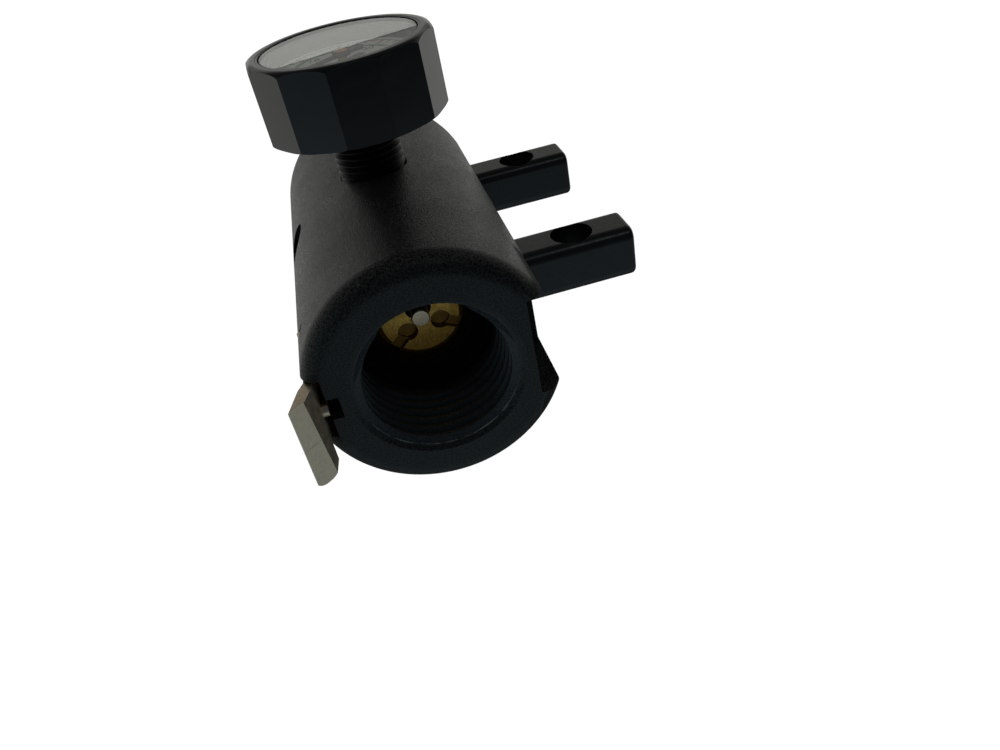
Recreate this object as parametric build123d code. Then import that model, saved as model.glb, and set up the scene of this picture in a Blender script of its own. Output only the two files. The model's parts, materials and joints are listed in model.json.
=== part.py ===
from build123d import *
import math
import os

# A bottle valve body with a pressure gauge. All sizes are in millimetres.
# The origin is the centre of the bottle port's mouth, on the body's flat front face.
# +Y runs into the body along the port's axis, +Z is up towards the gauge, and +X runs out
# along the two mounting lugs.

# ---------------------------------------------------------------- driving dimensions

# body
body_radius = 16.75
body_length = 64.0
front_round = 2.6
rear_round = 4.0
gap = 0.04                      # air between fixed pieces that fit together

# bottle port, 14 threads per inch on a 20.96 mm major diameter
port_mouth_radius = 11.3
port_major_radius = 10.48
port_minor_radius = 9.56
port_countersink_depth = 0.46
port_pitch = 1.814
port_flank = 0.53
port_root_land = 0.227
port_turns = 5
run_in_depth = 2.1
run_in_level = 0.1
run_in_tilt = 10.8
port_depth = 13.5

# brass insert at the bottom of the bottle port
insert_front = 16.0
insert_rear = 21.0
insert_radius = 6.25
insert_seat_radius = 5.2
insert_rim = 0.7
pin_radius = 1.32
pin_stands_out = 0.75
keyhole_angles = (-27.0, -138.0)
keyhole_circle = 3.0
keyhole_radius = 1.45
keyhole_depth = 1.5
keyhole_slot_width = 1.85
keyhole_slot_depth = 1.0
gas_pocket_angle = 92.0
gas_pocket_circle = 1.45
gas_pocket_radius = 1.9
gas_pocket_depth = 3.2
gas_hole_circle = 2.5
gas_hole_radius = 0.8

# gas passage, from the insert to the regulator
filter_radius = 4.6
filter_rear = 23.6
chamber_radius = 4.0
web_front = 36.0
web_rear = 40.0
stem_bore_radius = 2.5

# regulator
piston_bore_radius = 9.0
piston_head_front = 51.5
piston_head_rear = 56.0
piston_clearance = 0.05
stem_front = 37.2
stem_hole_radius = 0.75
seat_radius = 1.7
seat_front = 35.0
seat_rear = 36.35
carrier_front = 34.0
disc_count = 8
disc_inner_radius = 3.0
disc_outer_radius = 8.6
disc_thickness = 0.8
disc_cone = 0.6

# rear cap
cap_radius = 9.8
cap_front = 57.2
outlet_radius = 4.3
outlet_depth = 5.5
outlet_passage_radius = 1.5
spanner_hole_radius = 1.2
spanner_hole_circle = 7.0
spanner_hole_depth = 2.5

# gauge, on an axis parallel to Z
gauge_x = -0.7
gauge_y = 32.5
gauge_port_radius = 4.9
gauge_port_floor = 8.5
gauge_passage_radius = 1.2
gauge_stem_radius = 4.85
gauge_stem_foot = 9.3
gauge_stem_thread_end = 21.9
gauge_stem_neck_radius = 4.35
gauge_stem_pitch = 0.94
gauge_flats = 12
gauge_first_corner = 18.5
gauge_radius = 12.75
gauge_foot = 23.5
gauge_foot_round = 0.6
gauge_shoulder = 32.9
gauge_rim_top = 33.95
gauge_rim_radius = 11.65
gauge_glass_bore = 11.1
gauge_floor = 24.8
gauge_room_radius = 10.2
bezel_inner_radius = 10.8
lens_radius = 10.76
lens_foot = 32.6
lens_top = 33.8
flange_radius = 7.0
flange_top = 26.4
flange_ear_radius = 9.2
screw_circle = 7.9
screw_radius = 0.6
screw_head_radius = 1.1
screw_head_height = 0.7
dial_radius = 10.1
dial_foot = 29.9
dial_thickness = 0.4
needle_foot = 31.0
needle_thickness = 0.35
needle_length = 8.6
needle_tail = 2.8
needle_angle = 215.0
pinion_radius = 0.75
arbor_radius = 0.6
sector_arbor_radius = 0.5
sector_radius = 5.25
mesh_gap = 0.05
sector_direction = 150.0
sector_half_angle = 28.0
sector_tail = 1.6
sector_turn = sector_direction + 180 - sector_half_angle + 6
sector_foot = 26.8
sector_thickness = 0.7
plate_foot = 27.8
plate_thickness = 0.5
plate_radius = 6.9
post_radius = 0.6
post_circle = 6.0
bourdon_radius = 8.4
bourdon_middle = 28.1
bourdon_sweep = 250.0

# second gas port, on the left flank
side_angle = 152.5
side_port_radius = 3.1
side_port_floor = 9.5
side_passage_radius = 1.0
side_plug_radius = 3.06
side_plug_foot = 10.9
side_plug_top = 15.0
side_plug_socket = 3.0
side_plug_socket_depth = 1.8

# channel and pocket on the right, which take the lugs
channel_x = 15.3
channel_low = -6.5
channel_high = 7.5
pocket_x = 12.45
pocket_length = 12.0

# mounting lugs
lug_positions = {"front_lug": (21.5, 9.3), "rear_lug": (53.8, 11.2)}    # Y, and the shank hole's end in X
lug_width = 7.6
lug_height = 7.7
lug_z = -0.3
lug_end = 32.75
lug_edge = 1.6
lug_end_edge = 0.7
lug_hole_x = 24.4
lug_hole_radius = 3.1
lug_shank_radius = 2.95
lug_thread_radius = 3.0

# latch lever at the left of the mouth
slot_x = -13.95
slot_length = 9.4
slot_low = -4.4
slot_high = 4.35
notch_x = -12.45
notch_low = -1.6
notch_high = 1.5
notch_length = 3.4
hinge_x = -15.1
hinge_y = 8.0
hinge_pin_radius = 0.5
hinge_pin_half_length = 6.9
hinge_clearance = 0.05
lever_inner_x = -14.95
lever_outer_x = -15.9
lever_top = 4.1
lever_step = -4.2
lever_foot = -8.2
knuckle_radius = 0.85
knuckle_gap = 1.25
stud_radius = 1.0
stud_y = 1.25
stud_z = -0.55
stud_end_x = -14.15
spring_wire = 0.32
spring_pitch = 0.34
spring_turns = 6
spring_radius = 0.74

# ---------------------------------------------------------------- helpers

to_body_axis = Rot(-90, 0, 0)           # turns +Z into +Y
at_gauge = Pos(gauge_x, gauge_y, 0)
upright = (Align.CENTER, Align.CENTER, Align.MIN)


def lathe(points):
    """A solid turned about Z from (radius, height) points."""
    return revolve(Plane.XZ * make_face(Polyline(*points, close=True)), axis=Axis.Z)


def turned(points):
    """A solid turned about the body's axis from (radius, y) points."""
    return to_body_axis * lathe(points)


def disc(radius, low, high):
    """An upright cylinder between two heights."""
    return Pos(0, 0, low) * Cylinder(radius, high - low, align=upright)


def ring(inner, outer, low, high):
    """An upright ring between two heights."""
    return disc(outer, low, high) - disc(inner, low - 1, high + 1)


def block(x, y, z):
    """A box from (low, high) pairs."""
    size = (x[1] - x[0], y[1] - y[0], z[1] - z[0])
    middle = ((x[0] + x[1]) / 2, (y[0] + y[1]) / 2, (z[0] + z[1]) / 2)
    return Pos(*middle) * Box(*size)


def along_x(radius, low, high, y, z):
    """A cylinder along X between two places."""
    return Pos(low, y, z) * Rot(0, 90, 0) * Cylinder(radius, high - low, align=upright)


def o_ring(mean_radius, section_radius, middle):
    """An O-ring around Z, its middle at the given height."""
    return Pos(0, 0, middle) * Torus(mean_radius, section_radius)


def side_frame():
    """The frame of the flank port: its Z runs out along the port."""
    angle = math.radians(side_angle)
    return Plane(origin=(0, gauge_y, 0), x_dir=(0, 1, 0), z_dir=(math.cos(angle), 0, math.sin(angle)))


def polar(radius, angle):
    return (radius * math.cos(math.radians(angle)), radius * math.sin(math.radians(angle)))


sector_distance = pinion_radius + sector_radius + mesh_gap
sector_pivot = polar(sector_distance, sector_direction)


# ---------------------------------------------------------------- body

def bottle_port_points():
    """The bottle port's wall from its mouth inwards, as (radius, y). The thread is cut as rings."""
    points = [(port_mouth_radius, 0), (port_major_radius, port_countersink_depth)]
    crest_land = port_pitch - 2 * port_flank - port_root_land
    y = port_countersink_depth
    for turn in range(port_turns):
        y += port_flank
        points.append((port_minor_radius, y))
        y += crest_land
        points.append((port_minor_radius, y))
        y += port_flank
        points.append((port_major_radius, y))
        y += port_root_land
        points.append((port_major_radius, y))
    points.append((port_minor_radius, y + port_flank))
    points.append((port_minor_radius, port_depth))
    return points


def thread_run_in():
    """The thread's first turn starts late on the gauge's side, so its crest is cut back there."""
    cut = disc(port_major_radius, 0, run_in_depth)
    slope = Pos(0, 0, run_in_level) * Rot(-run_in_tilt, 0, 0)
    below = slope * Pos(0, 0, -10) * Box(60, 60, 20)
    return to_body_axis * (cut & below)


def body_bore():
    """Everything that is turned out of the body along its axis."""
    return turned(
        [(0, -1), (port_mouth_radius, -1)]
        + bottle_port_points()
        + [
            (insert_radius + gap + 0.6, port_depth),
            (insert_radius + gap, port_depth + 0.6),
            (insert_radius + gap, insert_rear),
            (filter_radius, insert_rear),
            (filter_radius, filter_rear),
            (chamber_radius, filter_rear),
            (chamber_radius, web_front),
            (stem_bore_radius + 0.5, web_front),
            (stem_bore_radius, web_front + 0.6),
            (stem_bore_radius, web_rear),
            (piston_bore_radius, web_rear),
            (piston_bore_radius, cap_front),
            (cap_radius, cap_front),
            (cap_radius, body_length + 1),
            (0, body_length + 1),
        ]
    )


def gauge_port():
    """The threaded hole on top, and its passage down to the chamber."""
    top = body_radius + 1
    mouth = body_radius - 0.75
    return at_gauge * (
        lathe(
            [
                (0, gauge_port_floor),
                (gauge_port_radius, gauge_port_floor),
                (gauge_port_radius, mouth),
                (gauge_port_radius + top - mouth, top),
                (0, top),
            ]
        )
        + disc(gauge_passage_radius, chamber_radius - 1, gauge_port_floor + 1)
    )


def side_port():
    """The threaded hole on the left flank, and its passage to the chamber."""
    return side_frame() * (
        disc(side_port_radius, side_port_floor, body_radius + 2)
        + disc(side_passage_radius, chamber_radius - 1, side_port_floor + 1)
    )


def latch_slot():
    """The slot for the lever, with the notch for its stud and the hole for its hinge pin."""
    far_left = -body_radius - 1
    slot = block((far_left, slot_x), (-1, slot_length), (slot_low, slot_high))
    notch = block((slot_x - 1, notch_x), (-1, notch_length), (notch_low, notch_high))
    pin_hole = Pos(hinge_x, hinge_y, 0) * Cylinder(hinge_pin_radius + 0.01, 2 * body_radius)
    return slot + notch + pin_hole


def lug_seats():
    """The channel that the lugs sit in, the deeper pocket at the front, and the shank holes."""
    far_right = body_radius + 1
    height = (channel_low, channel_high)
    cut = block((channel_x, far_right), (pocket_length - 1, body_length + 1), height)
    cut += block((pocket_x, far_right), (-1, pocket_length), height)
    for lug_y, hole_end in lug_positions.values():
        cut += along_x(lug_thread_radius, hole_end, far_right, lug_y, lug_z)
    return cut


def valve_body():
    blank = to_body_axis * Cylinder(body_radius, body_length, align=upright)
    blank = fillet(blank.edges().sort_by(Axis.Y)[0], front_round)
    blank = fillet(blank.edges().sort_by(Axis.Y)[-1], rear_round)
    return blank - body_bore() - thread_run_in() - gauge_port() - side_port() - latch_slot() - lug_seats()


# ---------------------------------------------------------------- bottle port pieces

def keyhole(angle):
    """One blind slot for a pin wrench: a round end near the pin, open at the insert's rim."""
    half = keyhole_slot_width / 2
    round_end = Pos(keyhole_circle, 0, 0) * disc(keyhole_radius, -1, keyhole_depth)
    slot = block((keyhole_circle, insert_radius + 1), (-half, half), (-1, keyhole_slot_depth))
    return Rot(0, 0, -angle) * (round_end + slot)


def gas_opening():
    """The gas's way in: a round pocket beside the pin, and a hole from its floor to the filter."""
    pocket = Pos(gas_pocket_circle, 0, 0) * disc(gas_pocket_radius, -1, gas_pocket_depth)
    hole = Pos(gas_hole_circle, 0, 0) * disc(gas_hole_radius, -1, insert_rear - insert_front + 1)
    return Rot(0, 0, -gas_pocket_angle) * (pocket + hole)


def pin_insert():
    length = insert_rear - insert_front
    plug = lathe(
        [
            (0, 0),
            (insert_radius - insert_rim, 0),
            (insert_radius, insert_rim * 0.6),
            (insert_radius, length - 1),
            (insert_seat_radius, length - 1),
            (insert_seat_radius, length),
            (0, length),
        ]
    )
    plug -= disc(pin_radius + 0.01, -1, length + 1)
    plug -= gas_opening()
    for angle in keyhole_angles:
        plug -= keyhole(angle)
    return to_body_axis * Pos(0, 0, insert_front) * plug


def depressor_pin():
    pin = disc(pin_radius, insert_front - pin_stands_out, insert_rear - 0.2)
    return to_body_axis * chamfer(pin.edges().sort_by(Axis.Z)[0], 0.15)


def insert_seal():
    middle = (insert_seat_radius + insert_radius) / 2
    return to_body_axis * o_ring(middle, 0.48, insert_rear - 0.5)


def inlet_filter():
    return to_body_axis * disc(filter_radius - gap, insert_rear + 0.1, filter_rear - gap)


# ---------------------------------------------------------------- regulator

def seat_carrier():
    carrier = disc(chamber_radius - gap, carrier_front, web_front - gap)
    carrier -= disc(seat_radius + gap, seat_front - gap, web_front + 1)
    for i in range(4):
        carrier -= Rot(0, 0, 45 + 90 * i) * Pos(2.7, 0, 0) * disc(0.6, carrier_front - 1, web_front + 1)
    return to_body_axis * carrier


def valve_seat():
    return to_body_axis * disc(seat_radius, seat_front, seat_rear)


def regulator_piston():
    head_radius = piston_bore_radius - piston_clearance
    stem_radius = stem_bore_radius - piston_clearance
    groove_low, groove_high = piston_head_front + 1.4, piston_head_front + 3.1
    piston = lathe(
        [
            (stem_hole_radius, stem_front),
            (stem_hole_radius + 0.35, stem_front),
            (stem_radius, stem_front + 1.2),
            (stem_radius, piston_head_front),
            (head_radius, piston_head_front),
            (head_radius, groove_low),
            (head_radius - 1.3, groove_low),
            (head_radius - 1.3, groove_high),
            (head_radius, groove_high),
            (head_radius, piston_head_rear),
            (stem_hole_radius, piston_head_rear),
        ]
    )
    return to_body_axis * piston


def piston_seal():
    middle = piston_head_front + 2.25
    return to_body_axis * o_ring(piston_bore_radius - 0.72, 0.6, middle)


def disc_springs():
    """Cone washers stacked face to face between the web and the piston's head."""
    pitch = (piston_head_front - web_rear) / disc_count
    height = disc_thickness + disc_cone
    washers = []
    for i in range(disc_count):
        low = web_rear + i * pitch + (pitch - height) / 2
        inner, outer = (disc_cone, 0) if i % 2 else (0, disc_cone)
        washers.append(
            turned(
                [
                    (disc_inner_radius, low + inner),
                    (disc_outer_radius, low + outer),
                    (disc_outer_radius, low + outer + disc_thickness),
                    (disc_inner_radius, low + inner + disc_thickness),
                ]
            )
        )
    return Compound(children=washers)


def rear_cap():
    rear = body_length - 0.4
    outer = cap_radius - gap
    cap = lathe(
        [
            (outlet_passage_radius, piston_head_rear + 0.1),
            (4.0, piston_head_rear + 0.1),
            (4.0, cap_front + gap),
            (outer, cap_front + gap),
            (outer, cap_front + 1.0),
            (outer - 1.25, cap_front + 1.0),
            (outer - 1.25, cap_front + 2.6),
            (outer, cap_front + 2.6),
            (outer, rear - 0.5),
            (outer - 0.5, rear),
            (outlet_radius + 0.7, rear),
            (outlet_radius, rear - 0.7),
            (outlet_radius, rear - outlet_depth),
            (outlet_passage_radius, rear - outlet_depth),
        ]
    )
    for x in (-spanner_hole_circle, spanner_hole_circle):
        cap -= Pos(x, 0, 0) * disc(spanner_hole_radius, rear - spanner_hole_depth, rear + 1)
    return to_body_axis * cap


def rear_cap_seal():
    return to_body_axis * o_ring(cap_radius - gap - 0.62, 0.58, cap_front + 1.8)


# ---------------------------------------------------------------- flank port

def side_port_plug():
    plug = disc(side_plug_radius, side_plug_foot, side_plug_top)
    plug = chamfer(plug.edges().sort_by(Axis.Z)[-1], 0.4)
    socket = extrude(RegularPolygon(side_plug_socket / 2, 6, major_radius=False), side_plug_socket_depth + 1)
    plug -= Pos(0, 0, side_plug_top - side_plug_socket_depth) * socket
    return side_frame() * plug


def side_port_seal():
    return side_frame() * ring(1.9, side_plug_radius - gap, side_port_floor + gap, side_plug_foot - gap)


# ---------------------------------------------------------------- gauge

def gauge_outline():
    """The turned outline of the case, which cuts the corners of the flats into scallops."""
    widest = gauge_radius + 0.1
    foot_side = gauge_foot + gauge_foot_round
    foot_inset = widest - gauge_foot_round
    bulge = gauge_foot_round * (1 - math.sqrt(0.5))
    shoulder_middle = (widest - 0.36, (gauge_shoulder + gauge_rim_top) / 2 + 0.2)
    outline = Polyline((foot_inset, gauge_foot), (0, gauge_foot), (0, gauge_rim_top), (gauge_rim_radius, gauge_rim_top))
    outline += ThreePointArc((gauge_rim_radius, gauge_rim_top), shoulder_middle, (widest, gauge_shoulder))
    outline += Line((widest, gauge_shoulder), (widest, foot_side))
    outline += ThreePointArc((widest, foot_side), (widest - bulge, gauge_foot + bulge), (foot_inset, gauge_foot))
    return revolve(Plane.XZ * make_face(outline), axis=Axis.Z)


def gauge_case():
    prism = extrude(RegularPolygon(gauge_radius, gauge_flats), gauge_rim_top - gauge_foot)
    case = Pos(0, 0, gauge_foot) * Rot(0, 0, gauge_first_corner) * prism
    case &= gauge_outline()
    case -= disc(gauge_room_radius, gauge_floor, gauge_rim_top + 1)
    case -= disc(gauge_glass_bore, lens_foot - 0.5, gauge_rim_top + 1)
    case -= disc(gauge_stem_neck_radius + 0.05, gauge_foot - 1, gauge_floor + 1)
    for x in (-screw_circle, screw_circle):
        case -= Pos(x, 0, 0) * disc(screw_radius + 0.05, gauge_foot - 1, gauge_floor + 1)
        case -= Pos(x, 0, 0) * disc(screw_head_radius + 0.1, gauge_foot - 1, gauge_foot + screw_head_height + 0.05)
    return at_gauge * case


def gauge_stem():
    """The threaded stem with its flange, the block for the Bourdon tube and the gas way to it."""
    neck = gauge_stem_neck_radius
    points = [(0, gauge_stem_foot), (neck, gauge_stem_foot)]
    z = gauge_stem_foot + 0.2
    while z + gauge_stem_pitch < gauge_stem_thread_end:
        points.append((neck, z))
        points.append((gauge_stem_radius, z + 0.4 * gauge_stem_pitch))
        points.append((gauge_stem_radius, z + 0.55 * gauge_stem_pitch))
        z += gauge_stem_pitch
    points += [(neck, z), (neck, gauge_floor + gap), (flange_radius, gauge_floor + gap)]
    points += [(flange_radius, flange_top), (0, flange_top)]
    stem = lathe(points)
    ears = (gauge_floor + gap, flange_top - 0.3)
    stem += block((-flange_ear_radius, flange_ear_radius), (-1.6, 1.6), ears)
    stem += block((-1.5, 1.5), (-9.7, -5.0), (gauge_floor + gap, bourdon_middle + 1.45))
    stem -= disc(0.8, gauge_stem_foot - 1, gauge_floor + 0.8)
    stem -= Pos(0, 0, gauge_floor + 0.8) * Rot(90, 0, 0) * Cylinder(0.5, bourdon_radius, align=upright)
    stem -= Pos(0, -bourdon_radius, gauge_floor + 0.4) * Cylinder(0.5, 3, align=upright)
    stem -= disc(arbor_radius + 0.04, flange_top - 0.5, flange_top + 1)
    stem -= Pos(*sector_pivot) * disc(sector_arbor_radius + 0.04, flange_top - 0.5, flange_top + 1)
    for x in (-screw_circle, screw_circle):
        stem -= Pos(x, 0, 0) * disc(screw_radius + 0.01, gauge_floor - 1, gauge_floor + 3)
    stem -= Pos(0, 0, bourdon_middle) * bourdon_section(0.03)
    return at_gauge * stem


def bourdon_section(extra):
    """The flattened tube, swept as a circular arc round the gauge's axis."""
    section = Plane.XZ * Pos(bourdon_radius, 0) * Ellipse(0.5 + extra, 1.2 + extra)
    return Rot(0, 0, -92) * revolve(section, axis=Axis.Z, revolution_arc=bourdon_sweep)


def bourdon_tube():
    return at_gauge * Pos(0, 0, bourdon_middle) * bourdon_section(0)


def movement_plate():
    plate = ring(arbor_radius + 0.04, plate_radius, plate_foot, plate_foot + plate_thickness)
    plate -= Pos(*sector_pivot) * disc(sector_arbor_radius + 0.04, plate_foot - 1, plate_foot + 2)
    plate -= block((-2.2, 2.2), (-9, -4.6), (plate_foot - 1, plate_foot + 2))
    return at_gauge * plate


def movement_posts():
    """Short posts under the movement's plate and taller ones that carry the dial."""
    posts = []
    for angle in (20, 245, 295):
        place = Pos(*polar(post_circle, angle))
        posts.append(at_gauge * place * disc(post_radius, flange_top + 0.02, plate_foot - 0.02))
        posts.append(at_gauge * place * disc(post_radius, plate_foot + plate_thickness + 0.02, dial_foot - 0.02))
    return Compound(children=posts)


def sector_gear():
    """The toothed sector, drawn at its pitch radius, with its arbor and the tail that the tube pulls."""
    half = sector_half_angle
    reach = [(0, 0)] + [polar(sector_radius, a) for a in (-half, -half / 2, 0, half / 2, half)]
    fan = Polyline(*reach[:2]) + ThreePointArc(reach[1], reach[3], reach[5]) + Line(reach[5], reach[0])
    gear = extrude(make_face(fan), sector_thickness)
    gear += Cylinder(1.0, sector_thickness, align=upright)
    gear += block((-sector_tail, 0), (-0.5, 0.5), (0, sector_thickness))
    gear = Pos(0, 0, sector_foot) * Rot(0, 0, sector_turn) * gear
    gear += disc(sector_arbor_radius, flange_top - 0.4, plate_foot + plate_thickness)
    return at_gauge * Pos(*sector_pivot) * gear


def tip_link():
    """The flat link on the sector's tail, which the end of the Bourdon tube pulls."""
    link = Cylinder(0.45, 0.25, align=upright) + block((0, 1.3), (-0.3, 0.3), (0, 0.25))
    tail_x, tail_y = polar(sector_tail - 0.4, sector_turn + 180)
    low = sector_foot + sector_thickness + 0.02
    return at_gauge * Pos(sector_pivot[0] + tail_x, sector_pivot[1] + tail_y, low) * Rot(0, 0, 30) * link


def pinion():
    return at_gauge * (
        disc(arbor_radius, flange_top - 0.4, needle_foot + 0.02)
        + disc(pinion_radius, sector_foot, sector_foot + sector_thickness)
    )


def gauge_needle():
    """A tapering pointer with a round counterweight and a hub that is pressed on the arbor."""
    blade = make_face(Polyline((-needle_tail, -0.55), (needle_length, -0.12), (needle_length, 0.12),
                               (-needle_tail, 0.55), close=True))
    needle = extrude(blade, needle_thickness)
    needle += Pos(-needle_tail, 0, 0) * Cylinder(0.9, needle_thickness, align=upright)
    needle += Cylinder(1.2, needle_thickness + 0.35, align=upright)
    return at_gauge * Pos(0, 0, needle_foot + 0.04) * Rot(0, 0, needle_angle) * needle


def gauge_dial():
    dial = disc(dial_radius, dial_foot, dial_foot + dial_thickness)
    return at_gauge * (dial - disc(arbor_radius + 0.15, dial_foot - 1, dial_foot + 2))


def gauge_lens():
    lens = disc(lens_radius, lens_foot, lens_top)
    return at_gauge * chamfer(lens.edges().sort_by(Axis.Z)[-1], 0.2)


def lens_gasket():
    return at_gauge * ring(gauge_room_radius - 0.1, gauge_glass_bore - 0.04, lens_foot - 0.46, lens_foot - 0.03)


def bezel_ring():
    return at_gauge * ring(bezel_inner_radius, gauge_glass_bore - 0.04, lens_foot, lens_top + 0.1)


def stem_screws():
    screws = []
    for x in (-screw_circle, screw_circle):
        head = disc(screw_head_radius, gauge_foot, gauge_foot + screw_head_height)
        head -= block((-0.2, 0.2), (-2, 2), (gauge_foot - 1, gauge_foot + 0.3))
        shank = disc(screw_radius, gauge_foot + screw_head_height, gauge_floor + 1.5)
        screws.append(at_gauge * Pos(x, 0, 0) * (head + shank))
    return Compound(children=screws)


# ---------------------------------------------------------------- lugs

def lug(name):
    """A square bar with a threaded shank at its root and a cross hole near its end."""
    lug_y, hole_end = lug_positions[name]
    width = (lug_y - lug_width / 2, lug_y + lug_width / 2)
    height = (lug_z - lug_height / 2, lug_z + lug_height / 2)
    bar = block((channel_x + 0.02, lug_end), width, height)
    bar = fillet(bar.edges().filter_by(Axis.X), lug_edge)
    bar = fillet(bar.faces().sort_by(Axis.X)[-1].edges(), lug_end_edge)
    bar += along_x(lug_shank_radius, hole_end + 0.3, channel_x + 1, lug_y, lug_z)
    hole = Pos(lug_hole_x, lug_y, lug_z) * Cylinder(lug_hole_radius, lug_height + 2)
    return bar - hole


# ---------------------------------------------------------------- latch

def nose_face(inner_front, z):
    """The lever's nose at one height, seen from above. Its front end is cut on the slant."""
    corners = [(lever_inner_x, -0.3), inner_front, (-17.86, -4.3), (-16.65, -0.3)]
    return Plane.XY.offset(z) * make_face(Polyline(*corners, close=True))


def nose_front_view():
    """The nose's outline seen from the front: square on top, rounded at its foot."""
    left, right = -17.95, -14.3
    outline = Polyline((left, -7.0), (left, lever_top), (right, lever_top), (right, -5.0))
    outline += ThreePointArc((right, -5.0), (right - 0.45, -7.25), (right - 1.7, lever_foot + 0.02))
    outline += Line((right - 1.7, lever_foot + 0.02), (left + 1.2, lever_foot))
    outline += ThreePointArc((left + 1.2, lever_foot), (left + 0.35, lever_foot + 0.4), (left, -7.0))
    return Pos(0, 2, 0) * extrude(Plane.XZ * make_face(outline), 8)


def latch_lever():
    """The lever: a plate in the slot with a hinge knuckle, a flared nose in front of the body's face."""
    plate = block((lever_outer_x, lever_inner_x), (-0.3, hinge_y), (lever_step, lever_top))
    wedge_corners = [(lever_outer_x + 0.01, 1.2), (lever_outer_x + 0.01, -0.3), (-16.65, -0.3)]
    wedge = Plane.XY.offset(lever_step) * make_face(Polyline(*wedge_corners, close=True))
    wedge = extrude(wedge, lever_top - lever_step)
    knuckle = Pos(hinge_x, hinge_y, lever_step) * Cylinder(knuckle_radius, lever_top - lever_step, align=upright)
    nose = loft([nose_face((-15.35, -2.45), lever_foot), nose_face((-15.98, -2.9), lever_top)])
    nose &= nose_front_view()
    lever = plate + wedge + knuckle + nose
    lever += along_x(stud_radius, lever_inner_x - 0.5, stud_end_x, stud_y, stud_z)
    lever -= Pos(hinge_x, hinge_y, 0) * Cylinder(hinge_pin_radius + hinge_clearance, 20)
    lever -= block((-18, -12), (hinge_y - 1.35, hinge_y + 2), (-knuckle_gap, knuckle_gap))
    return lever


def latch_pin():
    return Pos(hinge_x, hinge_y, 0) * Cylinder(hinge_pin_radius, 2 * hinge_pin_half_length)


def latch_spring():
    """A torsion spring: close coils round the hinge pin and one leg along the slot's floor."""
    coils = []
    for i in range(spring_turns):
        z = (i - (spring_turns - 1) / 2) * spring_pitch
        coils.append(Torus(spring_radius, spring_wire / 2 + 0.02).moved(Location((0, 0, z))))
    spring = coils[0]
    for coil in coils[1:]:
        spring += coil
    spring = Pos(hinge_x, hinge_y, 0) * spring
    leg_x = hinge_x + spring_radius
    leg = Pos(leg_x, hinge_y, 0) * Rot(90, 0, 0) * Cylinder(spring_wire / 2, 4.2, align=upright)
    return spring + leg


# ---------------------------------------------------------------- output

def nodes():
    pieces = {
        "valve_body": valve_body(),
        "pin_insert": pin_insert(),
        "depressor_pin": depressor_pin(),
        "insert_seal": insert_seal(),
        "inlet_filter": inlet_filter(),
        "seat_carrier": seat_carrier(),
        "valve_seat": valve_seat(),
        "regulator_piston": regulator_piston(),
        "piston_seal": piston_seal(),
        "disc_springs": disc_springs(),
        "rear_cap": rear_cap(),
        "rear_cap_seal": rear_cap_seal(),
        "side_port_plug": side_port_plug(),
        "side_port_seal": side_port_seal(),
        "gauge_case": gauge_case(),
        "gauge_stem": gauge_stem(),
        "stem_screws": stem_screws(),
        "bourdon_tube": bourdon_tube(),
        "movement_plate": movement_plate(),
        "movement_posts": movement_posts(),
        "sector_gear": sector_gear(),
        "tip_link": tip_link(),
        "pinion": pinion(),
        "gauge_needle": gauge_needle(),
        "gauge_dial": gauge_dial(),
        "gauge_lens": gauge_lens(),
        "lens_gasket": lens_gasket(),
        "bezel_ring": bezel_ring(),
        "latch_lever": latch_lever(),
        "latch_pin": latch_pin(),
        "latch_spring": latch_spring(),
    }
    for name in lug_positions:
        pieces[name] = lug(name)
    return pieces


os.makedirs("parts", exist_ok=True)
for name, piece in nodes().items():
    export_step(piece, f"parts/{name}.step")
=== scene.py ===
import bpy
import bmesh
import json
import math
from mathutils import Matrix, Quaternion, Vector


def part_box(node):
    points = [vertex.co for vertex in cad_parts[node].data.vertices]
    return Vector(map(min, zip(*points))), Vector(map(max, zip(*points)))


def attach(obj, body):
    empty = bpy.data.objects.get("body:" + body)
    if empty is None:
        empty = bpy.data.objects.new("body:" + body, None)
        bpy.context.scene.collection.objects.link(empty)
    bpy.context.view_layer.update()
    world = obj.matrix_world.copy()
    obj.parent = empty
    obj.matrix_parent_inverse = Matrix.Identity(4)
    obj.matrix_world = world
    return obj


# A bottle valve body with a pressure gauge, on a plain white floor. Everything is in metres, in the
# CAD frame: +Y runs into the body, +Z is up towards the gauge and +X runs out along the lugs.

MM = 0.001

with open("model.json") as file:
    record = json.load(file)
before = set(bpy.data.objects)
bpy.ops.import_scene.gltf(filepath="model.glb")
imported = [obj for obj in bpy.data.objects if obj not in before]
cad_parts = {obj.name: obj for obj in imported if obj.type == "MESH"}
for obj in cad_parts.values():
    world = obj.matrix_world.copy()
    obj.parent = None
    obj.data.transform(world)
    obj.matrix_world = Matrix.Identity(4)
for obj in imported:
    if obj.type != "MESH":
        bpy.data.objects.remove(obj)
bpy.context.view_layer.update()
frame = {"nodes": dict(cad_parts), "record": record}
nodes = frame["nodes"]


def mm(*lengths):
    """Lengths given in millimetres, in metres."""
    return tuple(length * MM for length in lengths)


# ---------------------------------------------------------------- node helpers

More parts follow.
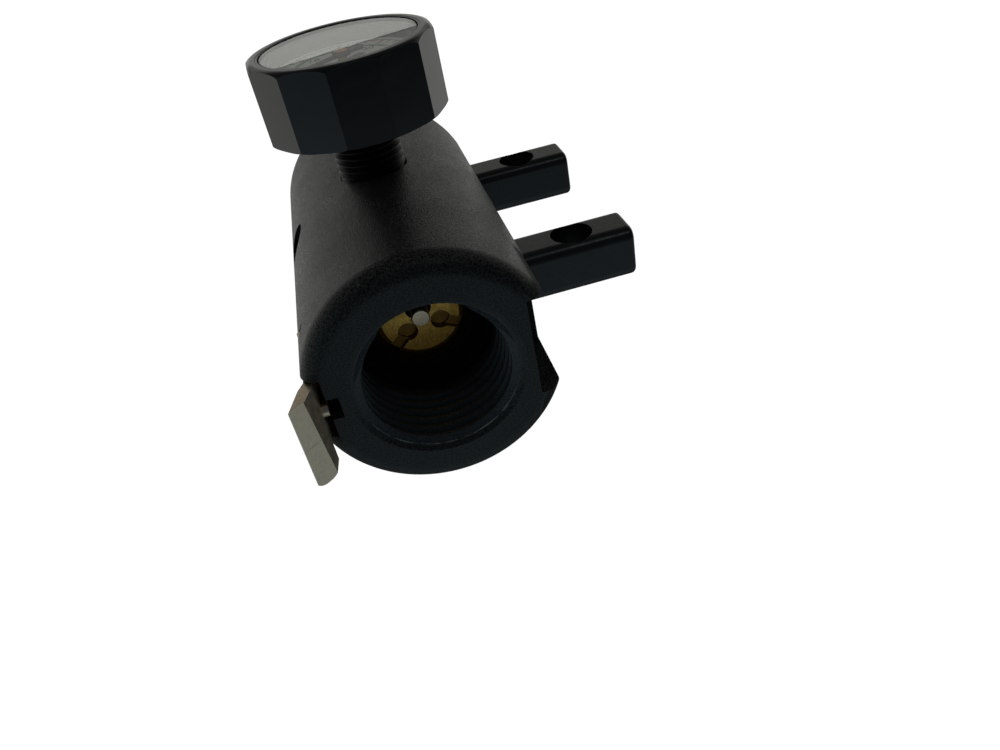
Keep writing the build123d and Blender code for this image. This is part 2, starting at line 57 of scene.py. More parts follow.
class Tree:
    """The node tree of a material or a world. A value below is a socket, a number or a tuple."""

    def __init__(self, owner):
        owner.use_nodes = True
        self.tree = owner.node_tree
        self.tree.nodes.clear()

    def add(self, kind, **settings):
        """A new node, with its settings given."""
        node = self.tree.nodes.new(kind)
        for key, setting in settings.items():
            setattr(node, key, setting)
        return node

    def feed(self, value, socket):
        """Links the value to the socket if it is a socket itself, and else sets it."""
        if isinstance(value, bpy.types.NodeSocket):
            self.tree.links.new(value, socket)
        elif socket.type == "RGBA":
            socket.default_value = (*value, 1.0)
        else:
            socket.default_value = value

    def spread(self, value, low, high, to_low, to_high, **settings):
        """Maps low to to_low and high to to_high, and goes no further on either side."""
        node = self.add("ShaderNodeMapRange", **settings)
        names = ("Value", "From Min", "From Max", "To Min", "To Max")
        for name, number in zip(names, (value, low, high, to_low, to_high)):
            self.feed(number, node.inputs[name])
        return node.outputs[0]

    def between(self, value, low, high, soft):
        """1 where the value is between low and high. It fades over soft on both sides of each."""
        above = self.spread(value, low - soft, low + soft, 0.0, 1.0)
        below = self.spread(value, high - soft, high + soft, 1.0, 0.0)
        return self.math("MULTIPLY", above, below)

    def blend(self, factor, a, b):
        """A colour between a and b."""
        node = self.add("ShaderNodeMix", data_type="RGBA")
        for value, index in ((factor, 0), (a, 6), (b, 7)):
            self.feed(value, node.inputs[index])
        return node.outputs[2]

    def math(self, operation, *values):
        """Does the operation on the first two values, then on that and the third, and so on."""
        total = values[0]
        for value in values[1:]:
            node = self.add("ShaderNodeMath", operation=operation)
            self.feed(total, node.inputs[0])
            self.feed(value, node.inputs[1])
            total = node.outputs[0]
        return total


class Graph(Tree):
    """A new material's node tree, with its shader and the object coordinates."""

    def __init__(self, name):
        self.material = bpy.data.materials.new(name)
        super().__init__(self.material)
        output = self.add("ShaderNodeOutputMaterial")
        self.shader = self.add("ShaderNodeBsdfPrincipled")
        self.feed(self.shader.outputs[0], output.inputs["Surface"])
        self.place = self.add("ShaderNodeTexCoord").outputs["Object"]

    def vector(self, operation, a, b=(0, 0, 0), output="Vector"):
        """Vector maths. LENGTH and DOT_PRODUCT give a number, in the output named Value."""
        node = self.add("ShaderNodeVectorMath", operation=operation)
        self.feed(a, node.inputs[0])
        self.feed(b, node.inputs[1])
        return node.outputs[output]

    def stretched(self, scale):
        """The object coordinates, scaled differently along X, Y and Z."""
        return self.vector("MULTIPLY", self.place, scale)

    def noise(self, size, detail=3.0, rough=0.6, vector=None):
        """Noise whose blotches are about size metres wide. A stretched vector takes size 1."""
        node = self.add("ShaderNodeTexNoise")
        self.feed(vector or self.place, node.inputs["Vector"])
        node.inputs["Scale"].default_value = 1.0 / size
        node.inputs["Detail"].default_value = detail
        node.inputs["Roughness"].default_value = rough
        return node.outputs[0]

    def edges(self, radius):
        """About 1 within radius of a sharp edge and 0 on flat ground."""
        bevel = self.add("ShaderNodeBevel", samples=4)
        bevel.inputs["Radius"].default_value = radius
        normal = self.add("ShaderNodeNewGeometry").outputs["Normal"]
        same = self.vector("DOT_PRODUCT", bevel.outputs[0], normal, "Value")
        return self.spread(same, 0.995, 0.9, 0.0, 1.0)

    def facing(self, axis):
        """1 where the surface faces along the axis, either way, and 0 on walls that run along it."""
        normal = self.add("ShaderNodeNewGeometry").outputs["Normal"]
        along = self.vector("DOT_PRODUCT", normal, axis, "Value")
        return self.spread(self.math("ABSOLUTE", along, 0.0), 0.6, 0.9, 0.0, 1.0)

    def within(self, axis, low, high, soft):
        """1 where the object coordinate of the axis (0, 1 or 2) is between low and high."""
        parts = self.add("ShaderNodeSeparateXYZ")
        self.feed(self.place, parts.inputs[0])
        return self.between(parts.outputs[axis], low, high, soft)

    def inside(self, x_range, y_range, z_range):
        """1 inside a box. Each range is (low, high, soft)."""
        ranges = (x_range, y_range, z_range)
        return self.math("MULTIPLY", *(self.within(i, *each) for i, each in enumerate(ranges)))

    def distance(self, axes, centre=(0, 0, 0)):
        """The distance from a centre, counting only the axes that have a 1 in axes."""
        aside = self.vector("SUBTRACT", self.place, centre)
        return self.vector("LENGTH", self.vector("MULTIPLY", aside, axes), output="Value")

    def bump(self, *layers):
        """Adds bumps from (height socket, strength, distance) layers."""
        last = None
        for height, strength, distance in layers:
            node = self.add("ShaderNodeBump")
            node.inputs["Strength"].default_value = strength
            node.inputs["Distance"].default_value = distance
            self.feed(height, node.inputs["Height"])
            if last:
                self.feed(last, node.inputs["Normal"])
            last = node.outputs[0]
        self.feed(last, self.shader.inputs["Normal"])

    def set(self, **values):
        """Gives the shader's inputs their values. Underscores stand for spaces in their names."""
        for key, value in values.items():
            self.feed(value, self.shader.inputs[key.replace("_", " ")])
        return self.material


# ---------------------------------------------------------------- materials

# Places on the body and its pieces that look different, some through painted highlight and shade. Each
# range is (low, high, soft) in metres.
HIGHLIT_EDGE_RADIUS = mm(10.43, 10.55, 0.03)    # the countersink's inner edge, with a painted highlight low down
HIGHLIT_EDGE_Y = mm(0.2, 0.8, 0.1)
HIGHLIT_EDGE_Z = mm(-12, -5, 3)
POCKET_RANGES = (mm(12.3, 15.5, 0.1), mm(0.2, 12.2, 0.1), mm(-12, 9, 0.5))
THREAD_SHEEN_Y = mm(0.4, 12, 0.2)
PORT_FLOOR_Y = mm(5, 22, 0.5)
KEYHOLE_SHADE_Y = mm(16.8, 17.8, 0.1)
GAS_POCKET_SHADE_Y = mm(17.9, 22, 0.3)
SEAM_Z = mm(-2.08, -1.98, 0.05)
ALONG_BODY = (0, 1, 0)
ALONG_LUGS = (1, 0, 0)


def blasted_black():
    """Matt black anodising over bead-blasted aluminium. The pocket for the mount is left rougher.

    A highlight is painted on the port's edge low down, and a little pale dust lies in the grain.
    """
    g = Graph("body_black")
    grain = g.noise(0.22 * MM, 1.0, 0.6)
    cloud = g.noise(6 * MM, 2.0, 0.5)
    pits = g.noise(0.55 * MM, 4.0, 0.75)
    off_axis = g.distance((1, 0, 1))
    end_face = g.facing(ALONG_BODY)
    pocket = g.inside(*POCKET_RANGES)

    colour = g.blend(g.spread(grain, 0.38, 0.64, 0, 1), (0.001, 0.0012, 0.0010), (0.046, 0.050, 0.041))
    dust = g.spread(g.noise(0.4 * MM, 0.0), 0.72, 0.78, 0, 0.5)
    colour = g.blend(dust, colour, (0.16, 0.16, 0.15))
    cut = g.blend(g.spread(grain, 0.35, 0.65, 0, 1), (0.010, 0.0115, 0.012), (0.013, 0.0145, 0.015))
    colour = g.blend(end_face, colour, cut)
    # Edges lighter from wear, and partly a painted glint along them.
    wear_and_glint = g.math("MULTIPLY", g.edges(0.18 * MM), g.spread(g.noise(0.8 * MM), 0.45, 0.7, 0.05, 0.5))
    colour = g.blend(wear_and_glint, colour, (0.10, 0.10, 0.09))
    # A painted highlight on the countersink's inner edge, low down.
    painted_edge_highlight = g.math("MULTIPLY", g.between(off_axis, *HIGHLIT_EDGE_RADIUS),
                       g.within(1, *HIGHLIT_EDGE_Y), g.within(2, *HIGHLIT_EDGE_Z),
                       g.spread(g.noise(1.3 * MM, 3.0, 0.7), 0.42, 0.62, 0.1, 1.0))
    colour = g.blend(painted_edge_highlight, colour, (0.60, 0.60, 0.52))
    pitted = g.math("MULTIPLY", pocket, g.spread(pits, 0.35, 0.62, 1.0, 0.0))
    colour = g.blend(pitted, colour, (0.004, 0.0048, 0.005))
    # A painted bluish reflection on the port's thread, lighter than the black around it.
    painted_thread_sheen = g.math("MULTIPLY", g.spread(off_axis, *mm(8.8, 9.2), 0, 1),
                    g.spread(off_axis, *mm(10.9, 11.0), 1, 0), g.within(1, *THREAD_SHEEN_Y), 0.7)
    colour = g.blend(painted_thread_sheen, colour, (0.042, 0.052, 0.060))

    rough = g.math("ADD", g.spread(grain, 0.42, 0.60, 0.30, 0.58), g.math("MULTIPLY", pocket, 0.25),
                   g.spread(cloud, 0.3, 0.7, -0.03, 0.03))
    port_floor = g.math("MULTIPLY", g.spread(off_axis, *mm(8.6, 9.2), 1, 0), g.within(1, *PORT_FLOOR_Y))
    gloss = g.math("MULTIPLY", g.spread(grain, 0.40, 0.62, 0.22, 0.62),
                   g.math("SUBTRACT", 1.0, port_floor))
    blast = g.math("MULTIPLY", g.noise(0.2 * MM, 1.0, 0.6), g.spread(end_face, 0.0, 1.0, 1.0, 0.12))
    g.bump((blast, 1.0, 0.085 * MM), (g.math("MULTIPLY", pits, pocket), 1.0, 0.5 * MM))
    return g.set(Base_Color=colour, Roughness=rough, Specular_IOR_Level=gloss)


def satin_black():
    """Smoother black on the lugs, with fine lengthwise tool marks."""
    g = Graph("lug_black")
    marks = g.noise(1.0, 3.0, 0.6, g.stretched((300, 9000, 9000)))
    colour = g.blend(g.spread(marks, 0.3, 0.7, 0, 1), (0.004, 0.0045, 0.005), (0.009, 0.0105, 0.012))
    # Edges lighter from wear, and partly painted glints along them, as at the hole.
    wear_and_glint = g.math("MULTIPLY", g.edges(0.15 * MM), g.spread(g.noise(0.7 * MM), 0.4, 0.7, 0.2, 1.0))
    colour = g.blend(wear_and_glint, colour, (0.20, 0.20, 0.19))
    rough = g.spread(g.noise(0.5 * MM), 0.3, 0.7, 0.26, 0.38)
    g.bump((marks, 0.10, 0.02 * MM), (g.noise(0.3 * MM), 0.08, 0.02 * MM))
    return g.set(Base_Color=colour, Roughness=rough)


def gloss_black():
    """Gloss black paint with faint smears, and edges lighter from wear and a painted highlight."""
    g = Graph("gauge_black")
    smear = g.noise(1.0, 3.0, 0.6, g.stretched((160, 160, 420)))
    colour = g.blend(g.spread(smear, 0.35, 0.7, 0, 1), (0.004, 0.004, 0.0045), (0.009, 0.009, 0.010))
    # Edges lighter from wear, and partly a painted highlight along the facet edges.
    wear_and_glint = g.math("MULTIPLY", g.edges(0.12 * MM), g.spread(g.noise(0.9 * MM), 0.45, 0.7, 0.1, 0.8))
    colour = g.blend(wear_and_glint, colour, (0.14, 0.14, 0.14))
    rough = g.spread(smear, 0.3, 0.75, 0.09, 0.2)
    g.bump((g.noise(2.5 * MM, 2.0, 0.5), 0.05, 0.08 * MM), (g.noise(0.25 * MM), 0.03, 0.01 * MM))
    return g.set(Base_Color=colour, Roughness=rough)


def oiled_black():
    """Dull black on the gauge's stem, with dust in its grain, and edges paler from wear and painted
    glints.
    """
    g = Graph("stem_black")
    dust = g.noise(0.3 * MM, 3.0, 0.7)
    colour = g.blend(g.spread(dust, 0.4, 0.75, 0, 1), (0.0025, 0.0025, 0.0028), (0.012, 0.012, 0.012))
    # Edges paler from wear, and partly painted glints along them.
    wear_and_glint = g.math("MULTIPLY", g.edges(0.1 * MM), g.spread(dust, 0.5, 0.7, 0.0, 0.7))
    colour = g.blend(wear_and_glint, colour, (0.05, 0.05, 0.05))
    g.bump((dust, 0.3, 0.03 * MM))
    return g.set(Base_Color=colour, Roughness=g.spread(dust, 0.3, 0.7, 0.34, 0.5), Specular_IOR_Level=0.3)


def brass():
    """Machined brass: bright faces with fine tool marks, and painted shade on its walls, on its keyhole
    floors and in its pocket.
    """
    g = Graph("brass")
    marks = g.noise(1.0, 4.0, 0.7, g.stretched((5000, 900, 2200)))
    tarnish = g.noise(1.1 * MM, 4.0, 0.7)
    colour = g.blend(g.spread(marks, 0.3, 0.7, 0, 1), (0.56, 0.35, 0.06), (1.0, 0.70, 0.20))
    colour = g.blend(g.spread(tarnish, 0.45, 0.66, 0, 0.7), colour, (0.38, 0.22, 0.05))
    # Painted shade on the keyhole floors.
    colour = g.blend(g.within(1, *KEYHOLE_SHADE_Y), colour, (0.30, 0.18, 0.05))
    # Painted shade on the walls: only faces that face along the body keep their colour.
    colour = g.blend(g.facing(ALONG_BODY), (0.016, 0.010, 0.003), colour)
    colour = g.blend(g.math("MULTIPLY", g.edges(0.08 * MM), 0.35), colour, (1.0, 0.88, 0.60))
    # Painted shade, nearly black, in the deep gas pocket.
    colour = g.blend(g.within(1, *GAS_POCKET_SHADE_Y), colour, (0.012, 0.009, 0.004))
    g.bump((marks, 0.2, 0.006 * MM))
    return g.set(Base_Color=colour, Metallic=1.0, Roughness=g.spread(tarnish, 0.3, 0.7, 0.34, 0.46))


def tumbled_steel():
    """Warm grey steel with a smooth tumbled skin: soft blotches, a few fine scratches and a seam.

    The sides that face along the lugs are sheared, and rougher.
    """
    g = Graph("steel")
    blotch = g.noise(1.1 * MM, 4.0, 0.65)
    scratch = g.noise(1.0, 2.0, 0.5, g.stretched((5000, 5000, 500)))
    stain = g.noise(0.45 * MM, 3.0, 0.7)
    sheared = g.facing(ALONG_LUGS)
    colour = g.blend(g.spread(blotch, 0.3, 0.7, 0, 1), (0.64, 0.52, 0.385), (0.84, 0.68, 0.505))
    colour = g.blend(g.spread(scratch, 0.62, 0.75, 0, 0.5), colour, (0.45, 0.39, 0.31))
    colour = g.blend(g.edges(0.15 * MM), colour, (0.95, 0.86, 0.72))
    colour = g.blend(g.spread(stain, 0.5, 0.72, 0, 0.55), colour, (0.46, 0.43, 0.33))
    seam = g.math("MULTIPLY", g.within(2, *SEAM_Z), g.spread(stain, 0.35, 0.6, 0.2, 0.9),
                  g.facing(ALONG_BODY))
    colour = g.blend(seam, colour, (0.22, 0.17, 0.12))
    g.bump((blotch, 0.15, 0.03 * MM), (scratch, 0.2, 0.006 * MM),
           (g.math("MULTIPLY", stain, sheared), 0.4, 0.04 * MM))
    rough = g.math("ADD", g.spread(blotch, 0.3, 0.7, 0.20, 0.36), g.math("MULTIPLY", sheared, 0.36))
    return g.set(Base_Color=colour, Metallic=1.0, Roughness=rough)


def brushed(name, light, dark, scale):
    """Metal with fine marks, drawn out along the axis that has the smallest scale."""
    g = Graph(name)
    marks = g.noise(1.0, 4.0, 0.7, g.stretched(scale))
    patches = g.noise(2.2 * MM, 2.0, 0.5)
    colour = g.blend(g.spread(marks, 0.3, 0.7, 0, 1), dark, light)
    colour = g.blend(g.spread(patches, 0.45, 0.75, 0, 0.3), colour, tuple(0.8 * c for c in dark))
    colour = g.blend(g.edges(0.1 * MM), colour, tuple(min(1.0, 1.3 * c) for c in light))
    g.bump((marks, 0.3, 0.008 * MM))
    return g.set(Base_Color=colour, Metallic=1.0, Roughness=g.spread(marks, 0.3, 0.7, 0.28, 0.42))


def sintered():
    """Bronze beads fused together, with painted shade in the gaps between them."""
    g = Graph("sintered_bronze")
    beads = g.add("ShaderNodeTexVoronoi")
    g.feed(g.place, beads.inputs["Vector"])
    beads.inputs["Scale"].default_value = 1 / (0.2 * MM)
    depth = beads.outputs["Distance"]
    # Darker towards each bead's edge: painted shade in the gaps between beads.
    colour = g.blend(depth, (0.52, 0.37, 0.2), (0.12, 0.08, 0.04))
    g.bump((depth, 0.8, 0.1 * MM))
    return g.set(Base_Color=colour, Metallic=1.0, Roughness=0.5)


def rubber():
    """Black rubber with a little dust on it."""
    g = Graph("rubber")
    dust = g.noise(0.6 * MM, 4.0, 0.7)
    colour = g.blend(g.spread(dust, 0.45, 0.75, 0, 1), (0.012, 0.012, 0.013), (0.05, 0.05, 0.048))
    g.bump((g.noise(0.15 * MM), 0.15, 0.02 * MM))
    return g.set(Base_Color=colour, Roughness=g.spread(dust, 0.3, 0.7, 0.5, 0.7))


def matt(name, colour_a, colour_b, size, rough):
    """A plain matt surface with slight blotches and a fine tooth."""
    g = Graph(name)
    blotch = g.noise(size, 3.0, 0.6)
    g.bump((g.noise(0.12 * MM), 0.06, 0.01 * MM))
    colour = g.blend(g.spread(blotch, 0.35, 0.7, 0, 1), colour_a, colour_b)
    return g.set(Base_Color=colour, Roughness=g.spread(blotch, 0.3, 0.7, rough - 0.08, rough + 0.08))


def glass():
    """Clear window with a faint waviness and smudges."""
    g = Graph("glass")
    smudge = g.noise(1.8 * MM, 3.0, 0.6)
    g.bump((g.noise(5 * MM, 1.0, 0.4), 0.02, 0.05 * MM))
    return g.set(Base_Color=(0.97, 0.97, 0.95), Roughness=g.spread(smudge, 0.5, 0.8, 0.0, 0.02),
                 Transmission_Weight=1.0, IOR=1.49)


materials = {
    "body_black": blasted_black(),
    "lug_black": satin_black(),
    "gauge_black": gloss_black(),
    "brass": brass(),
    "steel": tumbled_steel(),
    "dark_steel": brushed("dark_steel", (0.16, 0.16, 0.165), (0.07, 0.07, 0.075), (4000, 4000, 900)),
    "aluminium": brushed("aluminium", (0.80, 0.80, 0.81), (0.62, 0.62, 0.64), (5000, 400, 5000)),
    "sintered_bronze": sintered(),
    "rubber": rubber(),
    "seat_plastic": matt("seat_plastic", (0.84, 0.81, 0.72), (0.74, 0.71, 0.62), 1.0 * MM, 0.45),
    "dial_white": matt("dial_white", (0.80, 0.79, 0.76), (0.72, 0.71, 0.68), 3.0 * MM, 0.55),
    "needle_black": matt("needle_black", (0.010, 0.010, 0.010), (0.022, 0.022, 0.022), 0.8 * MM, 0.4),
    "glass": glass(),
    "print_black": matt("print_black", (0.012, 0.012, 0.014), (0.03, 0.03, 0.032), 0.5 * MM, 0.5),
    "print_orange": matt("print_orange", (1.0, 0.50, 0.18), (0.92, 0.42, 0.14), 0.5 * MM, 0.5),
    "print_green": matt("print_green", (0.05, 0.30, 0.10), (0.04, 0.24, 0.08), 0.5 * MM, 0.5),
}

SHARP_ANGLE = math.radians(27)


def crisp(mesh):
    """Shades smoothly across gentle edges only, so facets and chamfers keep their sharp lines."""
    old = mesh.attributes.get("custom_normal")
    if old:
        mesh.attributes.remove(old)
    for polygon in mesh.polygons:
        polygon.use_smooth = True
    mesh.set_sharp_from_angle(angle=SHARP_ANGLE)


slot_of = {part["node"]: part["material_slot"] for part in frame["record"]["subparts"]}
for name, node in nodes.items():
    node.data.materials.clear()
    node.data.materials.append(materials[slot_of[name]])
    crisp(node.data)
nodes["gauge_stem"].data.materials[0] = oiled_black()


# ---------------------------------------------------------------- the dial

dial_low, dial_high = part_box("gauge_dial")
dial_centre = (dial_low + dial_high) / 2
PRINT_GAP = 0.02 * MM
PRINT_THICKNESS = 0.04 * MM
SCALE_START = 225.0          # degrees from +X, read clockwise from here
SCALE_SWEEP = 270.0
TICKS = 30
TICKS_PER_MAJOR = 5
MAJOR_TICK = mm(7.3, 0.22)   # the inner end's radius, and the width
MINOR_TICK = mm(8.1, 0.1)
SCALE_LINE = mm(8.9, 9.0)    # inner and outer radius
SCALE_LINE_PIECES = 24
GREEN_BAND = mm(6.4, 7.0)
GREEN_BAND_TWELFTHS = range(2, 9)
ORANGE_MARK = mm(2.0, 5.9)
ORANGE_MARK_SHARES = (0.466, 0.526)
BAND_STEPS = 4               # straight edges along one twelfth of the green band
LINE_STEPS = 3               # and along one piece of the scale's line, or the orange mark
NUMERALS = 4
NUMERAL_RADIUS = 5.4 * MM
NUMERAL_SIZE = 1.7 * MM

prints = []


def new_piece(name, mesh, material, body="valve"):
    """A print on the dial, as a piece of its own."""
    piece = bpy.data.objects.new(name, mesh)
    bpy.context.scene.collection.objects.link(piece)
    mesh.materials.append(materials[material])
    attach(piece, body)
    prints.append(piece)


def as_mesh(bm, name):
    """Turns a bmesh into a mesh and frees it."""
    mesh = bpy.data.meshes.new(name)
    bm.to_mesh(mesh)
    bm.free()
    return mesh


def printed(shapes):
    """A mesh of thin raised flat outlines on the dial. Each is a list of (x, y) from its centre."""
    bm = bmesh.new()
    low = dial_high.z + PRINT_GAP
    for outline in shapes:
        rings = []
        for z in (low, low + PRINT_THICKNESS):
            rings.append([bm.verts.new((dial_centre.x + x, dial_centre.y + y, z)) for x, y in outline])
        bm.faces.new(rings[1])
        bm.faces.new(list(reversed(rings[0])))
        count = len(outline)
        for i in range(count):
            j = (i + 1) % count
            bm.faces.new((rings[0][i], rings[0][j], rings[1][j], rings[1][i]))
    bmesh.ops.recalc_face_normals(bm, faces=bm.faces)
    return as_mesh(bm, "print")


def at(radius, share):
    """A point on the dial at a radius and a share of the scale's sweep."""
    angle = math.radians(SCALE_START - SCALE_SWEEP * share)
    return (radius * math.cos(angle), radius * math.sin(angle))


def band(inner, outer, start, end, steps):
    """The outline of a part of a ring, between two shares of the sweep."""
    shares = [start + (end - start) * i / steps for i in range(steps + 1)]
    return [at(outer, s) for s in shares] + [at(inner, s) for s in reversed(shares)]


def tick(inner, outer, share, width):
    """The outline of a straight mark that points at the dial's centre."""
    x0, y0 = at(inner, share)
    x1, y1 = at(outer, share)
    length = math.hypot(x1 - x0, y1 - y0)
    nx, ny = -(y1 - y0) / length * width / 2, (x1 - x0) / length * width / 2
    return [(x0 + nx, y0 + ny), (x1 + nx, y1 + ny), (x1 - nx, y1 - ny), (x0 - nx, y0 - ny)]


def scale_marks():
    """The scale's ticks and the line that joins their outer ends."""
    shapes = []
    for i in range(TICKS + 1):
        inner, width = MINOR_TICK if i % TICKS_PER_MAJOR else MAJOR_TICK
        shapes.append(tick(inner, SCALE_LINE[0], i / TICKS, width))
    for i in range(SCALE_LINE_PIECES):
        shapes.append(band(*SCALE_LINE, i / SCALE_LINE_PIECES, (i + 1) / SCALE_LINE_PIECES, LINE_STEPS))
    return shapes


def numeral(text, share):
    """A generic number of the scale, as a thin solid."""
    curve = bpy.data.curves.new("numeral", "FONT")
    curve.body = text
    curve.size = NUMERAL_SIZE
    curve.align_x = "CENTER"
    curve.align_y = "CENTER"
    curve.extrude = PRINT_THICKNESS / 2
    text_object = bpy.data.objects.new("numeral", curve)
    bpy.context.scene.collection.objects.link(text_object)
    x, y = at(NUMERAL_RADIUS, share)
    middle = dial_high.z + PRINT_GAP + PRINT_THICKNESS / 2
    text_object.location = (dial_centre.x + x, dial_centre.y + y, middle)
    bpy.context.view_layer.update()
    graph = bpy.context.evaluated_depsgraph_get()
    mesh = bpy.data.meshes.new_from_object(text_object.evaluated_get(graph))
    mesh.transform(text_object.matrix_world)
    bpy.data.objects.remove(text_object)
    mesh.materials.clear()
    return mesh


new_piece("dial_marks", printed(scale_marks()), "print_black")
green_shapes = [band(*GREEN_BAND, i / 12, (i + 1) / 12, BAND_STEPS) for i in GREEN_BAND_TWELFTHS]
new_piece("dial_green_band", printed(green_shapes), "print_green")
orange_shapes = [band(*ORANGE_MARK, *ORANGE_MARK_SHARES, LINE_STEPS)]
new_piece("dial_orange_mark", printed(orange_shapes), "print_orange")
for i in range(NUMERALS):
    new_piece(f"dial_numeral_{i}", numeral(str(i * 10), i / (NUMERALS - 1)), "print_black")


def orange_hub_needle():
    """Black, with an orange cap on the hub."""
    g = Graph("needle_with_orange_hub")
    blotch = g.noise(0.6 * MM)
    black = g.blend(blotch, (0.010, 0.010, 0.010), (0.022, 0.022, 0.022))
    orange = g.blend(blotch, (1.0, 0.52, 0.20), (0.9, 0.42, 0.14))
    off_hub = g.spread(g.distance((1, 1, 0), dial_centre), *mm(0.85, 0.95), 0, 1)
    g.bump((g.noise(0.12 * MM), 0.06, 0.01 * MM))
    return g.set(Base_Color=g.blend(off_hub, orange, black),
                 Roughness=g.spread(blotch, 0.3, 0.7, 0.32, 0.48))


nodes["gauge_needle"].data.materials[0] = orange_hub_needle()


# ---------------------------------------------------------------- stage

STAGE_RADIUS = 2.0
FLOOR_GAP = 0.01 * MM
FLOOR_GLOW = 1.0
FLOOR_GREY = 0.45            # how much of the studio's light the floor gives back
BACKDROP_GLOW = 1.1


def glowing(name, strength, grey=0.0):
    """An even white glow, plus a matt grey surface if grey is above 0."""
    material = bpy.data.materials.new(name)
    tree = Tree(material)
    output = tree.add("ShaderNodeOutputMaterial")
    glow = tree.add("ShaderNodeEmission")
    tree.feed((1.0, 1.0, 1.0), glow.inputs["Color"])
    tree.feed(strength, glow.inputs["Strength"])
    total = glow.outputs[0]
    if grey:
        surface = tree.add("ShaderNodeBsdfDiffuse")
        tree.feed((grey, grey, grey), surface.inputs["Color"])
        both = tree.add("ShaderNodeAddShader")
        tree.feed(total, both.inputs[0])
        tree.feed(surface.outputs[0], both.inputs[1])
        total = both.outputs[0]
    tree.feed(total, output.inputs["Surface"])
    return material


def stage_piece(name, bm, material):
    """A piece of the stage, which only the camera sees."""
    mesh = as_mesh(bm, name)
    mesh.materials.append(material)
    thing = bpy.data.objects.new(name, mesh)
    bpy.context.scene.collection.objects.link(thing)
    for rays in ("diffuse", "glossy", "transmission", "volume_scatter", "shadow"):
        setattr(thing, f"visible_{rays}", False)
    return thing


bm = bmesh.new()
bmesh.ops.create_circle(bm, cap_ends=True, segments=96, radius=STAGE_RADIUS)
floor = stage_piece("floor", bm, glowing("floor_white", FLOOR_GLOW, FLOOR_GREY))
floor.location = (0, 0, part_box("valve_body")[0].z - FLOOR_GAP)

bm = bmesh.new()
bmesh.ops.create_uvsphere(bm, u_segments=64, v_segments=32, radius=STAGE_RADIUS)
dome = stage_piece("backdrop", bm, glowing("backdrop_white", BACKDROP_GLOW))


# ---------------------------------------------------------------- light

WALL_LIGHT = 0.52
WALL_TOP = 0.2208            # how high the pale wall ends, over its distance
WALL_SKEW = -0.267           # below 0, the wall is further away on the right
TABLE_LIGHT = 0.24
RIGHT_LIGHT = 0.05
LEFT_LIGHT = 0.20
AMBIENT_LIGHT = 0.05
FRONT_TINT = (0.75, 0.92, 1.0)
BACK_TINT = (0.985, 1.0, 0.945)


def studio_world():
    """Soft light by direction: a pale wall behind, dark overhead, and a dimmer table in front.

    x, y and z below are the parts of the direction that the light comes from.
    """
    world = bpy.data.worlds.new("studio")
    tree = Tree(world)
    output = tree.add("ShaderNodeOutputWorld")
    background = tree.add("ShaderNodeBackground")
    direction = tree.add("ShaderNodeTexCoord")
    parts = tree.add("ShaderNodeSeparateXYZ")
    tree.feed(direction.outputs["Generated"], parts.inputs[0])
    x, y, z = parts.outputs

    def soft(value, low, high, to_low, to_high):
        return tree.spread(value, low, high, to_low, to_high, interpolation_type="SMOOTHSTEP")

    wall_distance = tree.math("ADD", y, tree.math("MULTIPLY", x, WALL_SKEW))
    over_wall = tree.math("SUBTRACT", z, tree.math("MULTIPLY", wall_distance, WALL_TOP))
    wall = tree.math(
        "MULTIPLY",
        soft(y, -0.05, 0.55, 0.0, 1.0),                  # only behind the object
        soft(z, -0.75, -0.3, 0.06, WALL_LIGHT),          # dimmer towards the floor
        soft(over_wall, -0.0004, 0.0, 1.0, 0.12),        # a thin dark line along its top,
        soft(over_wall, 0.0006, 0.0012, 1.0, 2.6),       # a little less dark above the line,
        soft(z, 0.245, 0.36, 1.0, 2.0),                  # brighter in a band higher up
        soft(z, 0.44, 0.66, 1.0, 0.06))                  # and dark overhead
    right = tree.math(
        "MULTIPLY",
        soft(x, 0.35, 0.75, 0.0, RIGHT_LIGHT),
        soft(y, 0.0, 0.4, 0.0, 1.0),                     # only behind the object
        soft(z, 0.4, 0.8, 1.0, 0.0))                     # and not overhead
    left = tree.math(
        "MULTIPLY",
        soft(x, -0.9, -0.5, LEFT_LIGHT, 0.0),
        soft(y, -0.2, 0.2, 1.0, 0.1),                    # mostly in front of the object
        soft(z, 0.4, 0.8, 1.0, 0.0))                     # and not overhead
    table = tree.math(
        "MULTIPLY",
        soft(y, -0.3, 0.05, 1.0, 0.0),                   # only in front of the object
        soft(z, -0.45, -0.20, TABLE_LIGHT, 0.0))         # and below it
    tint = tree.blend(soft(y, -0.35, 0.3, 0.0, 1.0), FRONT_TINT, BACK_TINT)
    tree.feed(tint, background.inputs["Color"])
    tree.feed(tree.math("ADD", wall, right, left, table, AMBIENT_LIGHT), background.inputs["Strength"])
    tree.feed(background.outputs[0], output.inputs["Surface"])
    bpy.context.scene.world = world


studio_world()


def softbox(name, place, target, size, power, colour=(1.0, 1.0, 1.0)):
    """A square lamp that faces its target."""
    light = bpy.data.lights.new(name, "AREA")
    light.shape = "RECTANGLE"
    light.size = size
    light.size_y = size
    light.energy = power
    light.color = colour
    box = bpy.data.objects.new(name, light)
    box.location = place
    box.rotation_euler = (Vector(target) - Vector(place)).to_track_quat("-Z", "Y").to_euler()
    bpy.context.scene.collection.objects.link(box)
    return box


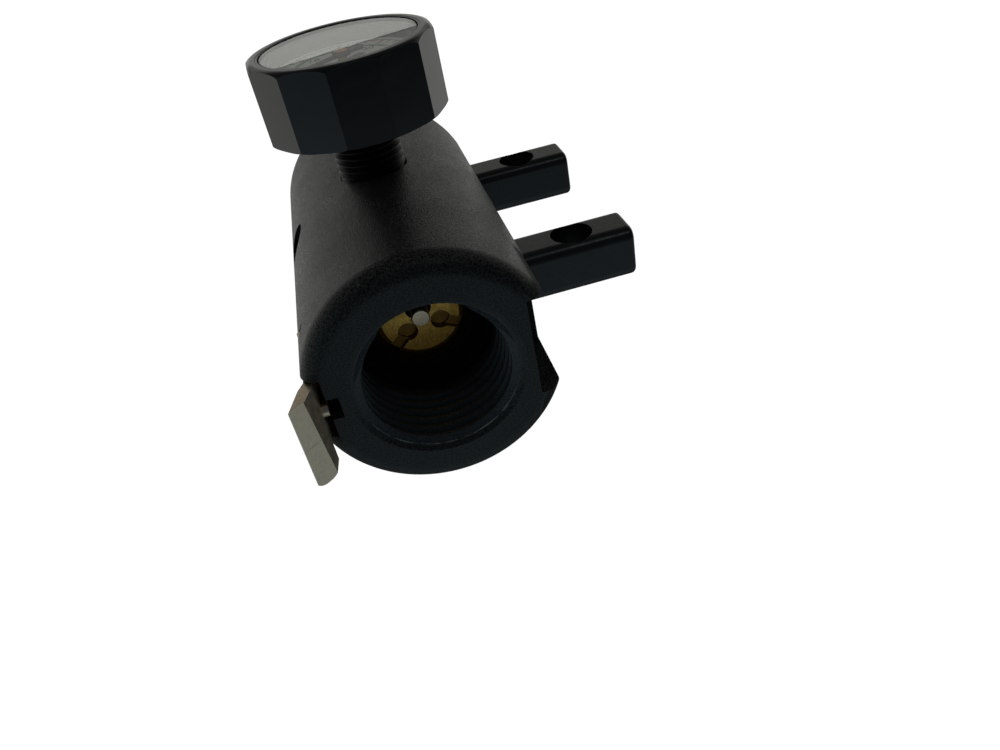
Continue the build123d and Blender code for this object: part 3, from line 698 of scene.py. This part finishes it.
def light_only(lamp, lit, blockers=()):
    """Links a lamp to the pieces it lights. If blockers are named, only they can shade it."""
    receivers = bpy.data.collections.new(f"lit_by_{lamp.name}")
    for piece in lit:
        receivers.objects.link(piece)
    lamp.light_linking.receiver_collection = receivers
    if blockers:
        shades = bpy.data.collections.new(f"shades_{lamp.name}")
        for piece in blockers:
            shades.objects.link(piece)
        lamp.light_linking.blocker_collection = shades


OBJECT_MIDDLE = (0.004, 0.032, 0.006)
INSERT_MIDDLE = (0, 0.016, 0)
DIAL_FILL_HEIGHT = 0.28
WARM = (1.0, 0.93, 0.80)

softbox("ceiling_lamp", (0.17, -0.28, 0.50), OBJECT_MIDDLE, size=0.02, power=0.06)
port_fill = softbox("port_fill", (0.02, -0.26, 0.06), INSERT_MIDDLE, size=0.12, power=0.10, colour=WARM)
light_only(port_fill, [nodes["pin_insert"], nodes["depressor_pin"]])

# The window would shade this one, since a lamp's light doesn't pass through glass.
over_dial = (dial_centre.x, dial_centre.y, DIAL_FILL_HEIGHT)
dial_fill = softbox("dial_fill", over_dial, dial_centre, size=0.10, power=0.10)
light_only(dial_fill, [nodes["gauge_dial"], nodes["gauge_needle"], *prints], [nodes["gauge_needle"]])


# ---------------------------------------------------------------- camera

CAMERA_PLACE = Vector((-1.458, -80.943, 57.838)) * MM
CAMERA_TARGET = Vector((8.311, 7.229, -7.203)) * MM
CAMERA_ROLL = -12.014        # degrees
CAMERA_LENS = 28.8
SENSOR_WIDTH = 36.0
NEAREST_SEEN = 0.005
FURTHEST_SEEN = 10.0

camera_data = bpy.data.cameras.new("camera")
camera_data.sensor_width = SENSOR_WIDTH
camera_data.lens = CAMERA_LENS
camera_data.clip_start = NEAREST_SEEN
camera_data.clip_end = FURTHEST_SEEN
camera = bpy.data.objects.new("camera", camera_data)
camera.rotation_mode = "QUATERNION"
look = (CAMERA_TARGET - CAMERA_PLACE).to_track_quat("-Z", "Y")
camera.location = CAMERA_PLACE
camera.rotation_quaternion = look @ Quaternion((0, 0, 1), math.radians(CAMERA_ROLL))
bpy.context.scene.collection.objects.link(camera)
bpy.context.scene.camera = camera

bpy.context.scene.view_settings.view_transform = "Standard"
bpy.context.scene.view_settings.look = "None"

bpy.context.view_layer.update()
